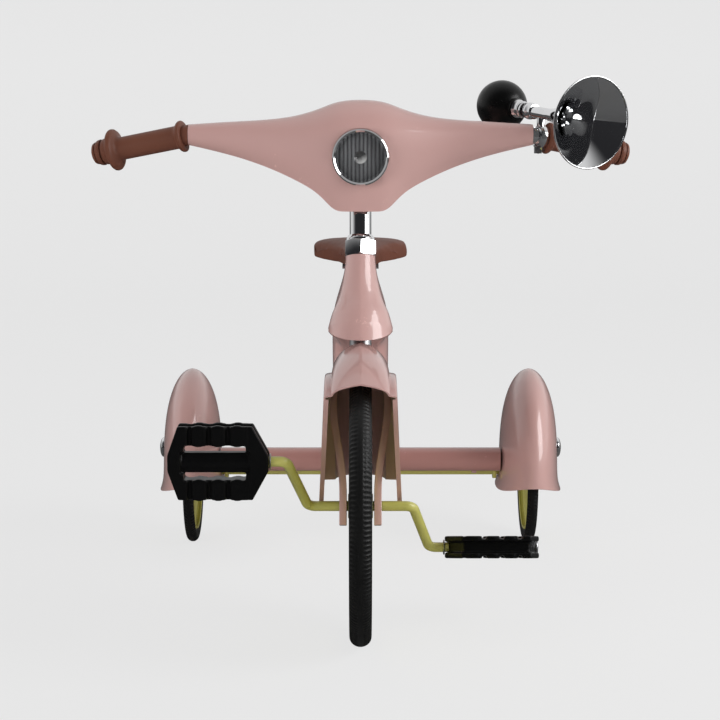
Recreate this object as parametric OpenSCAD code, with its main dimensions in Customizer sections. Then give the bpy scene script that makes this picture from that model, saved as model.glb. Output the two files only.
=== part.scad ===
// Streamlined pedal tricycle with a winged handlebar shell, headlight and squeeze horn.
// It faces -Y, +Z is up, and the ground is z = 0. Lengths are in millimetres.

/* [Layout] */
// Distance from the front axle to the rear axle
wheelbase = 486; // [440:2:540]
// Distance between the two rear tyres, centre to centre
track = 446; // [420:2:480]
// Lean of the steering axis, back from upright
rake = 15; // [12:0.5:18]

/* [Wheels] */
// Outer radius of the front tyre
front_r = 152; // [144:1:156]
// Width of the front tyre
front_tyre_w = 24; // [18:1:26]
// Radial height of the front tyre
front_tyre_h = 21; // [16:1:26]
// Outer radius of the rear tyres
rear_r = 95; // [88:1:99]
// Width of the rear tyres
rear_tyre_w = 14; // [12:1:20]
// Radial height of the rear tyres
rear_tyre_h = 16; // [12:1:20]
// Thickness of the pressed wheel discs
disc_t = 2; // [1.5:0.25:3]
// Outer radius of the front hub
front_hub_r = 19; // [16:0.5:22]
// Half length of the front hub
front_hub_l = 13.5; // [11:0.5:14]
// Outer radius of the rear hubs
rear_hub_r = 14; // [12:0.5:17]
// Half length of the rear hubs
rear_hub_l = 17; // [14:0.5:19]

/* [Crank and pedals] */
// Diameter of the crank rod
crank_d = 11; // [9:0.5:12]
// Distance from the wheel axis to the pedal axis
crank_throw = 100; // [88:1:104]
// Angle of the crank arms from upright at rest
crank_angle = 50; // [30:1:70]
// Half distance between the inner bends of the crank
bend_in = 57; // [56:1:62]
// Half distance between the outer bends of the crank
bend_out = 77.5; // [74:0.5:82]
// Room between the crank's outer bend and the pedal
pedal_room = 18; // [14:1:22]
// Length of the pedal body
pedal_l = 106; // [96:1:116]
// Width of the pedal body over its knobs
pedal_w = 80; // [72:1:88]
// Thickness of the pedal body over its teeth
pedal_t = 25; // [22:1:30]
// Thickness of the lips above and below the groove round the pedal
pedal_lip = 6.4; // [5.5:0.1:7]
// How far the left pedal's rear edge dips at rest
pedal_dip = 13.5; // [0:0.5:15]
// Half width of the pedal barrel
barrel_r = 10.5; // [9:0.5:11.5]

/* [Steering] */
// Radius of the steerer tube and of the stem
steerer_r = 12; // [11:0.25:12.5]
// Wall of the steerer tube
steerer_wall = 2; // [1.5:0.25:2.5]
// Thickness of the fork blades across
blade_t = 8; // [6:0.5:9]
// Depth of the fork blades, front to back
blade_depth = 24; // [20:1:28]
// Half distance between the blade centres at the axle
blade_low_x = 19; // [18.5:0.25:22]
// Half distance between the blade centres at their widest
blade_wide_x = 29.5; // [27:0.5:30.5]
// Height of the lock nut
nut_h = 17; // [13:1:19]
// Corner radius of the lock nut
nut_r = 19.4; // [18:0.1:20.5]
// Height of the nut's lower face along the steering axis
nut_s = 276; // [270:1:282]
// Room between the turning front fender and the frame
sweep_gap = 9; // [6:1:12]

/* [Handlebar] */
// Height of the bar above the ground
bar_z = 551; // [535:1:565]
// Diameter of the handlebar tube
bar_d = 19; // [18:0.5:22.5]
// Half length of the winged shell
shell_x = 193; // [186:1:198]
// Wall of the winged shell
shell_t = 1.2; // [1:0.1:1.3]
// Height of the shell's crest over the bar
crest_up = 37; // [30:1:44]
// Depth of the shell's lower rim under the bar
rim_down = 87; // [80:1:96]
// Length of each grip, flange to cap
grip_l = 113; // [100:1:125]
// Radius of the grip's body
grip_r = 13; // [12.5:0.25:15]
// Radius of the headlight bezel
lamp_r = 31; // [28:0.5:33]
// Height of the headlight's centre below the bar
lamp_down = 23; // [18:1:28]

/* [Horn] */
// Radius of the horn's mouth
horn_r = 51; // [44:1:56]
// Length of the horn from the bulb's centre to the mouth
horn_l = 168; // [158:1:180]
// Radius of the rubber bulb
bulb_r = 29; // [25:1:32]
// Radius of the horn's throat tube
throat_r = 6.5; // [5.5:0.25:7.5]

/* [Front fender] */
// Wall of the pressed fenders
sheet = 2; // [1.5:0.25:2.5]
// Radial room between the front tyre and the fender's crown
tyre_room = 22; // [18:1:26]
// Half width of the fender's arched crown
crown_w = 31; // [28:0.5:32]
// Half width of the skirts at the top
skirt_top_w = 38.5; // [37:0.5:40]
// Half width of the skirts at the bottom
skirt_low_w = 45.5; // [43:0.5:47]
// Width of the turned edge round the skirts
rolled_edge = 5; // [3:0.5:7]
// Angle of the front lip, up from the rear
lip_angle = 120; // [112:1:126]

/* [Frame] */
// Half width of the backbone
spine_w = 32.5; // [30:0.5:34]
// Radius of the rear cross beam
beam_r = 15.5; // [14:0.25:17]
// Height of the rear cross beam's centre over the rear axle
beam_up = 19; // [17:0.5:22]
// How far the cross beam lies in front of the rear axle
beam_fwd = 22; // [20:0.5:26]
// Diameter of the rear axle
axle_d = 12; // [10:0.5:13]
// Length of the neck fairing over its skirt sides
neck_l = 80; // [74:1:86]
// Radius of the neck fairing at its rim
neck_rim_r = 35.5; // [33:0.5:37]
// Radius of the neck fairing under the nut
neck_top_r = 16.3; // [15.5:0.1:17]
// Drop of the neck fairing's front apron below its sides
apron = 19; // [10:1:20]

/* [Rear fenders] */
// Half width of the pods
pod_w = 38; // [34:0.5:41]
// Height of the pods' lower edge
pod_low = 74; // [72:1:84]
// Height of the pods' top
pod_top = 232; // [220:1:244]
// Length of the pods in front of the axle
pod_front = 116; // [110:1:124]
// Length of the pods' tail behind the axle
pod_tail = 126; // [120:1:140]
// Flare of the pods' lower edge
pod_flare = 5; // [2:0.5:7]
// Rise of the pods' lower edge at the nose
pod_rise = 19; // [12:1:24]
// Height of the chrome cap nuts over the axle
cap_up = 31; // [26:1:36]
// Radius of the chrome cap nuts
cap_r = 13; // [11:0.5:14]

/* [Saddle] */
// Height of the saddle's top
saddle_z = 417; // [410:1:435]
// Half width of the saddle
saddle_w = 58; // [52:1:64]
// Length of the saddle
saddle_l = 196; // [180:1:210]
// Distance from the front axle to the seat post
post_y = 318; // [306:1:328]
// Diameter of the seat post
post_d = 22; // [19:0.5:24]

/* [Fits] */
// Radial clearance of a turning shaft
run_gap = 0.08; // [0.05:0.01:0.1]
// Gap between pieces that are fixed to each other
seat_gap = 0.15; // [0.1:0.05:0.25]

/* [Hidden] */
$fn = 64;
pink = [0.74, 0.55, 0.53];
olive = [0.78, 0.76, 0.42];
black = [0.07, 0.07, 0.07];
brown = [0.40, 0.25, 0.20];
shine = [0.85, 0.86, 0.88];
steel = [0.55, 0.56, 0.58];

// The front axle's place, so that the outline is centred on the origin
front_y = (front_r - wheelbase - pod_tail) / 2;
rear_y = front_y + wheelbase;
sr = sin(rake);
cr = cos(rake);
half_track = track / 2;
crown_r = front_r + tyre_room + sheet;       // fender crown, from the front axle
sweep_r = sqrt(pow(crown_r, 2) + pow(skirt_low_w, 2)) + sweep_gap * 0.4;
bar_s = (bar_z - front_r) / cr;              // bar's place along the steering axis
bar_y = (bar_z - front_r) * tan(rake);       // bar's distance behind the front axle
crown_top = crown_r - sheet - 0.8;           // top of the fork crown
arch_c = crown_r - crown_w;                  // centre of the crown's arch
neck_low = nut_s - neck_l;                   // neck fairing's rim along the axis
grip_dir = [0.940, 0.283, -0.190];
bend_at = [shell_x - 5, bar_y + 15, bar_z];

function unit(v) = v / norm(v);
function lerp(a, b, t) = a + (b - a) * t;
function smooth(t) = t * t * (3 - 2 * t);
function clamp01(t) = min(1, max(0, t));
// Point at t on a smooth curve through a list of stations
function spline(p, t) = let(n = len(p) - 1, i = min(floor(t * n), n - 1), u = t * n - i,
    a = p[max(i - 1, 0)], b = p[i], c = p[i + 1], d = p[min(i + 2, n)])
    0.5 * ((2 * b) + (c - a) * u + (2 * a - 5 * b + 4 * c - d) * u * u
    + (3 * b - 3 * c + d - a) * u * u * u);

// Rigid move that takes +Z to the direction from a to b, with its foot at a
module along(a, b) {
    d = unit(b - a);
    x = abs(d[2]) > 0.9 ? unit(cross([0, 1, 0], d)) : unit(cross([0, 0, 1], d));
    y = cross(d, x);
    multmatrix([[x[0], y[0], d[0], a[0]], [x[1], y[1], d[1], a[1]], [x[2], y[2], d[2], a[2]],
        [0, 0, 0, 1]]) children();
}
function flip(p) = [-p[0], p[1], p[2]];
// Round rod through the points p, with a ball at each bend, or a short sleeve at a shallow one
module rod(p, r, ball = 1.012, sleeve = 0) {
    n = len(p) - 1;
    for (i = [0 : n - 1]) let(d = unit(p[i + 1] - p[i]), a = p[i] + d * (i == 0 ? 0 : r * 0.1),
        b = p[i + 1] - d * (i == n - 1 ? 0 : r * 0.1)) along(a, b) cylinder(r = r, h = norm(b - a));
    for (i = [1 : n - 1]) let(u = unit(unit(p[i + 1] - p[i]) + unit(p[i] - p[i - 1])))
        if (sleeve > 0) along(p[i] - u * sleeve, p[i] + u * sleeve) cylinder(r = r * ball, h = 2 * sleeve);
        else translate(p[i]) sphere(r = r * ball);
}
// Closed solid through rings of equal length, each ring a closed loop
module loft(rings) {
    m = len(rings[0]);
    n = len(rings);
    pts = [for (r = rings) for (q = r) q];
    side = [for (i = [0 : n - 2]) for (j = [0 : m - 1]) let(a = i * m + j,
        b = i * m + (j + 1) % m) each [[a, b, b + m], [a, b + m, a + m]]];
    mid = [for (i = [1 : m - 2]) [0, i + 1, i]];
    last = [for (i = [1 : m - 2]) [(n - 1) * m, (n - 1) * m + i, (n - 1) * m + i + 1]];
    polyhedron(pts, concat(side, mid, last), convexity = 6);
}
// Closed solid of sheet: each ring runs along the outer face and back along the inner
module sheet_loft(rings) {
    m = len(rings[0]);
    n = len(rings);
    k = m / 2;
    pts = [for (r = rings) for (q = r) q];
    side = [for (i = [0 : n - 2]) for (j = [0 : m - 1]) let(a = i * m + j,
        b = i * m + (j + 1) % m) each [[a, b, b + m], [a, b + m, a + m]]];
    e = (n - 1) * m;
    caps = [for (j = [0 : k - 2]) let(a = j, b = j + 1, c = m - 2 - j, d = m - 1 - j)
        each [[a, c, b], [a, d, c], [e + a, e + b, e + c], [e + a, e + c, e + d]]];
    polyhedron(pts, concat(side, caps), convexity = 8);
}
// Places: behind the front axle, on the steering axis, and on a wheel's axis
module ahead() { translate([0, front_y, 0]) children(); }
module steer() { translate([0, front_y, front_r]) rotate([-rake, 0, 0]) children(); }
module wheel_at(x, y, z) { translate([x, y, z]) rotate([0, 90, 0]) children(); }
module ring(ro, ri, h) { difference() { cylinder(r = ro, h = h);
    translate([0, 0, -1]) cylinder(r = ri, h = h + 2); } }

// Tyre with a rounded crown and flat flanks, seated on radius r - h
module tyre(r, w, h, rib) {
    n = 14;
    rotate_extrude($fn = 96) polygon(concat(
        [[r - h, -w * 0.36]],
        [for (i = [0 : n]) let(a = -90 + 180 * i / n)
            [r - w * 0.46 + w * 0.46 * cos(a), w / 2 * sin(a)]],
        [[r - h, w * 0.36]]));
    // shallow centre band
    rotate_extrude($fn = 96) polygon([[r - 2, -rib], [r - 0.05, -rib * 0.8], [r, 0],
        [r - 0.05, rib * 0.8], [r - 2, rib]]);
}
// Pressed disc wheel: rim channel, dished disc with a raised bead, and hub flange
module disc_wheel(seat, w, hub) {
    d = seat - 3 - hub;
    path = [[hub, 0], [hub + d * 0.12, 0], [hub + d * 0.2, 2.6], [hub + d * 0.42, 3.6],
        [hub + d * 0.47, 6], [hub + d * 0.56, 6], [hub + d * 0.61, 3.6],
        [hub + d * 0.86, 2.2], [hub + d * 0.95, 0], [seat - 1, 0]];
    rotate_extrude($fn = 96) {
        polygon(concat([for (p = path) [p[0], p[1] - disc_t / 2]],
            [for (i = [len(path) - 1 : -1 : 0]) [path[i][0], path[i][1] + disc_t / 2]]));
        polygon([[seat - 2, -w * 0.36], [seat - 3.5, -w * 0.5], [seat - 1.5, -w * 0.56],
            [seat, -w * 0.40], [seat, w * 0.40], [seat - 1.5, w * 0.56],
            [seat - 3.5, w * 0.5], [seat - 2, w * 0.36]]);
    }
}
module front_tire() color(black) wheel_at(0, front_y, front_r)
    tyre(front_r, front_tyre_w, front_tyre_h - seat_gap, 6);
module front_disc() color(olive) wheel_at(0, front_y, front_r)
    disc_wheel(front_r - front_tyre_h, front_tyre_w * 0.8, front_hub_r + seat_gap);
module front_hub() color(steel) wheel_at(0, front_y, front_r) difference() {
    union() {
        translate([0, 0, -front_hub_l]) cylinder(r = front_hub_r * 0.7, h = 2 * front_hub_l);
        translate([0, 0, -front_hub_l * 0.6]) cylinder(r = front_hub_r, h = front_hub_l * 1.2);
    }
    translate([0, 0, -front_hub_l - 1]) cylinder(r = crank_d / 2 + seat_gap / 2, h = 2 * front_hub_l + 2);
}
pedal_end = bend_out + pedal_room;     // where the pedal's inner face sits
function arm(k) = [0, -k * crank_throw * sin(crank_angle), k * crank_throw * cos(crank_angle)];
crank_end = pedal_end + pedal_l - 2;
channel = 4;                            // depth of the groove round the pedal's edge
cap_round = 8;                          // push caps on the crank's ends
module crank() color(olive) translate([0, front_y, front_r])
    rod([[-crank_end, 0, 0] + arm(1), [-bend_out, 0, 0] + arm(1), [-bend_in, 0, 0],
        [bend_in, 0, 0], [bend_out, 0, 0] + arm(-1), [crank_end, 0, 0] + arm(-1)],
        crank_d / 2);
// Screwed ends that hold the pedals on the crank, and washers at their inner faces
module pedal_nuts() color(steel) for (k = [-1, 1]) translate([0, front_y, front_r] + arm(-k)) {
    mirror([k < 0 ? 1 : 0, 0, 0]) rotate([0, 90, 0]) {
        translate([0, 0, pedal_end + pedal_l - channel + 0.4]) difference() {
            rotate_extrude() polygon([[0, 0], [cap_round, 0], [cap_round, 1.4], [cap_round - 1, 2.6], [0, 3.4]]);
            translate([0, 0, -1]) cylinder(r = crank_d / 2 + seat_gap / 2, h = 2.7);
        }
        translate([0, 0, pedal_end - 2]) ring(8.5, crank_d / 2 + seat_gap / 2, 1.6);
    }
}
// One pedal lying flat, from its inner face along +X: barrel, two toothed rails, end plates
module pedal() {
    half = pedal_t / 2;
    rail_in = barrel_r + 7.6;
    edge = pedal_w / 2 - 1;
    tip = [[0, 8], [17, edge], [pedal_l - 11, edge], [pedal_l, 8]];
    rim = concat(tip, [for (i = [3 : -1 : 0]) [tip[i][0], -tip[i][1]]]);
    core_tip = [[channel, 8], [19, edge - channel], [pedal_l - 13, edge - channel], [pedal_l - channel, 8]];
    core = concat(core_tip, [for (i = [3 : -1 : 0]) [core_tip[i][0], -core_tip[i][1]]]);
    difference() {
        union() {
            difference() {
                translate([0, 0, -half]) linear_extrude(pedal_t) polygon(rim);
                translate([0, 0, pedal_lip - half]) linear_extrude(pedal_t - 2 * pedal_lip) difference() {
                    translate([-5, -pedal_w]) square([pedal_l + 10, 2 * pedal_w]);
                    polygon(core);
                }
                for (k = [-1, 1]) {
                    // windows between the barrel and the rails, and the dished middle
                    translate([24, k * (barrel_r + rail_in) / 2 - 3.8, -pedal_t]) cube([pedal_l - 41, 7.6, 2 * pedal_t]);
                    translate([20, -barrel_r - 1, k * half - 5.5]) cube([pedal_l - 34, 2 * barrel_r + 2, 11]);
                    for (i = [0 : 3]) translate([22 + i * (pedal_l - 46) / 3 - (i == 0 ? 3 : 2), -pedal_w,
                        k * half - (i == 0 ? 1.2 : 3.6)]) cube([i == 0 ? 3 : 5, 2 * pedal_w, i == 0 ? 2.4 : 7.2]);
                }
            }
            rotate([0, 90, 0]) translate([0, 0, channel]) cylinder(r = barrel_r - 0.6, h = pedal_l - 2 * channel);
            // knobs on both edges of each rail
            for (k = [-1, 1], i = [0 : 2]) translate([33 + i * (pedal_l - 66) / 2 - 3, 0, -half + 1]) {
                translate([0, k * edge - 1, 0]) cube([6, 2, pedal_lip - 2]);
                translate([0, k * edge - 1, pedal_t - pedal_lip]) cube([6, 2, pedal_lip - 2]);
                translate([0, k * rail_in - 1, 0]) cube([6, 2, pedal_t - 2]);
            }
        }
        rotate([0, 90, 0]) translate([0, 0, -1]) cylinder(r = crank_d / 2 + run_gap, h = pedal_l + 2);
        rotate([0, 90, 0]) translate([0, 0, pedal_l - channel]) cylinder(r = cap_round + 0.6, h = 10);
    }
}
module pedal_r() color(black) translate([0, front_y, front_r] + arm(1))
    mirror([1, 0, 0]) translate([pedal_end, 0, 0]) rotate([90, 0, 0]) pedal();
module pedal_l_body() color(black) translate([0, front_y, front_r] + arm(-1))
    translate([pedal_end, 0, 0]) rotate([-pedal_dip, 0, 0]) pedal();

// Rear wheels
module rear_tire(k) wheel_at(k * half_track, rear_y, rear_r)
    tyre(rear_r, rear_tyre_w, rear_tyre_h - seat_gap, 4);
module rear_tire_l() color(black) rear_tire(1);
module rear_tire_r() color(black) rear_tire(-1);
module rear_disc(k) translate([k * half_track, rear_y, rear_r]) mirror([k < 0 ? 1 : 0, 0, 0])
    rotate([0, 90, 0]) disc_wheel(rear_r - rear_tyre_h, rear_tyre_w * 0.8, rear_hub_r + seat_gap);
module rear_disc_l() color(olive) rear_disc(1);
module rear_disc_r() color(olive) rear_disc(-1);
module rear_hub(k) wheel_at(k * half_track, rear_y, rear_r) difference() {
    union() {
        translate([0, 0, -rear_hub_l]) cylinder(r = rear_hub_r * 0.75, h = 2 * rear_hub_l);
        translate([0, 0, -rear_hub_l * 0.5]) cylinder(r = rear_hub_r, h = rear_hub_l);
    }
    translate([0, 0, -rear_hub_l - 1]) cylinder(r = axle_d / 2 + run_gap, h = 2 * rear_hub_l + 2);
}
module rear_hub_left() color(steel) rear_hub(1);
module rear_hub_right() color(steel) rear_hub(-1);

// Rear axle, its collars, brackets and end nuts
stay_x = half_track + pod_w - sheet - 5;     // inner face of the stay plates
module rear_axle() color(olive) wheel_at(-stay_x - 4, rear_y, rear_r)
    cylinder(r = axle_d / 2, h = 2 * stay_x + 8);
module axle_collars() color(olive) for (k = [-1, 1]) {
    wheel_at(k * (half_track - pod_w - 6.4) - 2.5, rear_y, rear_r) ring(11, axle_d / 2 + seat_gap / 2, 5);
    wheel_at(k * (half_track - rear_hub_l - 2.2) - 1.8, rear_y, rear_r) ring(9, axle_d / 2 + seat_gap / 2, 3.6);
    wheel_at(k * (half_track + rear_hub_l + 2.2) - 1.8, rear_y, rear_r) ring(9, axle_d / 2 + seat_gap / 2, 3.6);
}
module axle_nuts() color(steel) for (k = [-1, 1]) translate([0, rear_y, rear_r])
    mirror([k < 0 ? 1 : 0, 0, 0]) rotate([0, 90, 0]) translate([0, 0, stay_x - 8]) difference() {
        cylinder(r = 10.5, h = 7.9, $fn = 6);
        translate([0, 0, -1]) cylinder(r = axle_d / 2 + seat_gap / 2, h = 11);
    }
beam_y = rear_y - beam_fwd;
beam_z = rear_r + beam_up;
beam_x = half_track - pod_w - 0.6;
module rear_beam() color(pink) difference() {
    wheel_at(-beam_x, beam_y, beam_z) cylinder(r = beam_r, h = 2 * beam_x);
    for (k = [-1, 1]) wheel_at(k * (beam_x - 60) - 61, beam_y, beam_z)
        cylinder(r = beam_r - 2.5, h = 122);
}
// Plates under the beam that carry the axle
module axle_brackets() color(pink) for (k = [-1, 1]) difference() {
    translate([k * (beam_x - 34) - 3, 0, 0]) rotate([90, 0, 90]) linear_extrude(6) difference() {
        union() {
            translate([rear_y, rear_r]) circle(r = axle_d / 2 + 6);
            polygon([[rear_y - 12, rear_r - 2], [rear_y + 2, rear_r + 12], [beam_y + 17, beam_z + 8],
                [beam_y, beam_z], [beam_y - 2, beam_z - 18]]);
        }
        translate([beam_y, beam_z]) circle(r = beam_r + 0.02);
    }
    wheel_at(-beam_x, rear_y, rear_r) cylinder(r = axle_d / 2 + seat_gap / 2, h = 2 * beam_x);
    translate([-beam_x, rear_y - 60, rear_r - 42]) cube([2 * beam_x, 120, 40]);
}

// Rear fender pod as stacked outlines of sheet, open below, holes for the axle and bolt
function pod_hw(z) = pod_w * sqrt(max(0, 1 - pow(max(0, z - 108) / (pod_top - 108), 2.6)))
    + pod_flare * pow(clamp01((100 - z) / (100 - pod_low)), 2);
function pod_lf(z) = pod_front * sqrt(max(0, 1 - pow((z - pod_low) / (pod_top - pod_low), 2.4)));
function pod_lr(z) = pod_tail * pow(max(0, 1 - pow((z - pod_low) / (pod_top - pod_low), 1.7)), 0.62);
function pod_loop(z, t, n) = [for (i = [0 : n - 1]) let(a = 360 * i / n, s = sin(a), c = -cos(a),
    w = pod_hw(z) - t, lf = pod_lf(z) - t, lr = pod_lr(z) - t,
    y = c < 0 ? lf * c : lr * c,
    x = w * sign(s) * pow(abs(s), c < 0 ? 0.95 : 0.95 + 0.5 * c))
    [x, y, z + pod_rise * pow(clamp01(-y / pod_front), 2) * clamp01((pod_low + 75 - z) / 75)]];
module pod(k) {
    n = 28;
    zs = concat([pod_low, pod_low + 8, pod_low + 18],
        [for (i = [1 : 10]) i == 10 ? pod_top - 0.12 : lerp(pod_low + 18, pod_top, sin(9 * i))]);
    zi = [for (z = zs) if (z < pod_top - 10) z];
    out = [for (z = zs) pod_loop(z, 0, n)];
    inn = [for (z = concat(zi, [pod_top - sheet - 3])) pod_loop(z, sheet, n)];
    m = len(out);
    q = len(inn);
    pts = [for (r = concat(out, inn)) for (p = r) p];
    e = m * n;
    faces = concat(
        [for (i = [0 : m - 2], j = [0 : n - 1]) let(a = i * n + j, b = i * n + (j + 1) % n)
            each [[a, b + n, b], [a, a + n, b + n]]],
        [for (i = [0 : q - 2], j = [0 : n - 1]) let(a = e + i * n + j, b = e + i * n + (j + 1) % n)
            each [[a, b, b + n], [a, b + n, a + n]]],
        [for (j = [0 : n - 1]) let(a = j, b = (j + 1) % n) each [[a, b, e + b], [a, e + b, e + a]]],
        [for (j = [1 : n - 2]) [(m - 1) * n, (m - 1) * n + j + 1, (m - 1) * n + j]],
        [for (j = [1 : n - 2]) [e + (q - 1) * n, e + (q - 1) * n + j, e + (q - 1) * n + j + 1]]);
    translate([k * half_track, rear_y, 0]) difference() {
        polyhedron(pts, faces, convexity = 6);
        translate([0, 0, rear_r]) rotate([0, -k * 90, 0]) cylinder(r = axle_d / 2 + 1, h = pod_w + 20);
        translate([0, 0, rear_r + cap_up]) rotate([0, k * 90, 0]) cylinder(r = 4.2, h = pod_w + 20);
    }
}
module rear_fender_l() color(pink) pod(1);
module rear_fender_r() color(pink) pod(-1);
// Stay plates inside the pods, from the axle's end up to the cap bolt
module fender_stays() color(steel) for (k = [-1, 1]) translate([0, rear_y, rear_r])
    mirror([k < 0 ? 1 : 0, 0, 0]) rotate([90, 0, 90]) translate([0, 0, stay_x])
        linear_extrude(2.5) difference() {
            union() {
                circle(r = 13);
                translate([0, cap_up]) circle(r = 10);
                translate([-9, 0]) square([18, cap_up]);
            }
            circle(r = axle_d / 2 + seat_gap / 2);
            translate([0, cap_up]) circle(r = 4);
        }
// Domed chrome nuts on the pods' outer walls, with their bolts and inner nuts
module cap_nuts() color(shine) for (k = [-1, 1]) translate([0, rear_y, rear_r + cap_up])
    mirror([k < 0 ? 1 : 0, 0, 0]) rotate([0, 90, 0]) {
        rotate_extrude() polygon(concat([[0, half_track + pod_w + 0.3], [cap_r, half_track + pod_w + 0.3]],
            [for (i = [0 : 8]) let(a = i * 90 / 8) [cap_r * cos(a), half_track + pod_w + 1.5 + 4.5 * sin(a)]]));
        translate([0, 0, stay_x - 5]) cylinder(r = 3.9, h = half_track + pod_w + 2 - stay_x + 5);
        translate([0, 0, stay_x - 4.1]) cylinder(r = 7, h = 4, $fn = 6);
        translate([0, 0, stay_x + 2.6]) cylinder(r = 7.5, h = half_track + pod_w - sheet - 0.5 - stay_x - 2.6);
    }

// Fork blades: flat bars that bow out round the tyre and close in at the axle
blade_path = [[arch_c - 1, 24.2], [arch_c - 14, 27.2], [arch_c - 28, blade_wide_x],
    [arch_c - 45, blade_wide_x - 0.3], [82, 27.2], [58, 23.2], [38, 20.4], [18, blade_low_x],
    [-21, blade_low_x]];
module fork_blade(k) {
    n = 24;
    c = [for (i = [0 : n]) spline(blade_path, i / n)];
    steer() difference() {
        translate([0, blade_depth / 2, 0]) rotate([90, 0, 0]) linear_extrude(blade_depth)
            polygon(concat([for (p = c) [k * (p[1] - blade_t / 2), p[0]]],
                [for (i = [n : -1 : 0]) [k * (c[i][1] + blade_t / 2), c[i][0]]]));
        rotate([0, 90, 0]) translate([0, 0, -60]) cylinder(r = crank_d / 2 + 3, h = 120);
    }
}
module fork_blade_l() color(pink) fork_blade(1);
module fork_blade_r() color(pink) fork_blade(-1);
// Split bushings in the blades that carry the crank
module crank_bushings() color(black) for (k = [-1, 1]) wheel_at(k * blade_low_x - blade_t / 2, front_y, front_r)
    ring(crank_d / 2 + 3 - seat_gap / 2, crank_d / 2 + run_gap, blade_t);
// Arched crown of the fork
module fork_crown() color(pink) steer() difference() {
    translate([0, blade_depth / 2, arch_c]) rotate([90, 0, 0]) linear_extrude(blade_depth)
        difference() {
            circle(r = crown_top - arch_c);
            circle(r = crown_top - arch_c - blade_t);
            translate([-50, -100.99]) square([100, 100]);
        }
    translate([0, 0, crown_top - 30]) cylinder(r = steerer_r - steerer_wall, h = 60);
}
module steerer() color(steel) steer() translate([0, 0, crown_top]) difference() {
    ring(steerer_r, steerer_r - steerer_wall, nut_s + 14 - crown_top);
    translate([-20, -20, -1.2]) cube([40, 40, 1]);
}
module lock_nut() color(shine) steer() translate([0, 0, nut_s]) difference() {
    union() {
        intersection() {
            rotate(30) cylinder(r = nut_r, h = nut_h, $fn = 6);
            rotate_extrude() polygon([[0, 0], [nut_r - 1.6, 0], [nut_r, 1.2], [nut_r, nut_h - 1.6],
                [nut_r - 3, nut_h], [0, nut_h]]);
        }
        rotate_extrude() polygon([[steerer_r, nut_h - 1], [nut_r - 3, nut_h - 1], [nut_r - 3.4, nut_h + 2],
            [steerer_r + 1.2, nut_h + 6], [steerer_r, nut_h + 6]]);
    }
    translate([0, 0, -1]) cylinder(r = steerer_r + seat_gap / 2, h = nut_h + 10);
}
// Stem: quill in the steerer, tube, and a round head that holds the bar
module stem() color(shine) steer() difference() {
    union() {
        translate([0, 0, nut_s + 14.2]) cylinder(r = steerer_r, h = bar_s - nut_s - 14.2);
        translate([0, 0, nut_s - 42]) cylinder(r = steerer_r - steerer_wall - seat_gap / 2, h = 60);
        translate([-20, 0, bar_s]) rotate([0, 90, 0]) cylinder(r = bar_d / 2 + 4.5, h = 40);
    }
    translate([-30, 0, bar_s]) rotate([0, 90, 0]) cylinder(r = bar_d / 2 + seat_gap / 2, h = 60);
}
module handlebar() color(shine) ahead() {
    e = bend_at + grip_dir / norm(grip_dir) * (grip_l + 7);
    rod([flip(e), flip(bend_at), [-60, bar_y, bar_z], [60, bar_y, bar_z], bend_at, e], bar_d / 2, 1.05, 2.5);
}
// Grip on the bar's end: inner flange, body, outer flange and a stepped cap
module grip(start) {
    l = grip_l + 9 - start;
    difference() {
        rotate_extrude() polygon([[0, 0], [17.4, 0], [17.8, 2], [17.2, 4.5], [grip_r + 1.5, 6.5],
            [grip_r, 9], [grip_r, l - 34], [grip_r + 1.5, l - 31], [22.5, l - 28], [23.8, l - 25],
            [22.5, l - 22.5], [grip_r + 2.5, l - 20.5], [grip_r + 1.8, l - 14], [grip_r - 0.5, l - 13],
            [grip_r - 0.5, l - 11.5], [grip_r + 1.8, l - 10.5], [grip_r + 1.2, l - 6.5],
            [grip_r - 1.5, l - 5.5], [grip_r - 1.5, l - 4], [grip_r - 0.5, l - 3.2], [grip_r - 3, l],
            [0, l]]);
        translate([0, 0, -1]) cylinder(r = bar_d / 2 + seat_gap / 2, h = l - 0.8);
    }
}
module grip_at(k, start) ahead() mirror([k < 0 ? 1 : 0, 0, 0])
    along(bend_at + unit(grip_dir) * start, bend_at + unit(grip_dir) * 200) grip(start);
grip_start = 10.5;
clamp_w = 10;
module grip_right() color(brown) grip_at(-1, grip_start);
module grip_left() color(brown) grip_at(1, grip_start + clamp_w + 1.5);

// Winged handlebar shell: sheet folded over the bar, open along its underside
shell_mid = [[-0.80, -1], [-0.97, -0.5], [-1, 0.1], [-0.94, 0.56], [-0.5, 0.86], [0.05, 1],
    [0.6, 0.84], [0.97, 0.42], [1, -0.2], [0.9, -0.65], [0.62, -1]];
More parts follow.
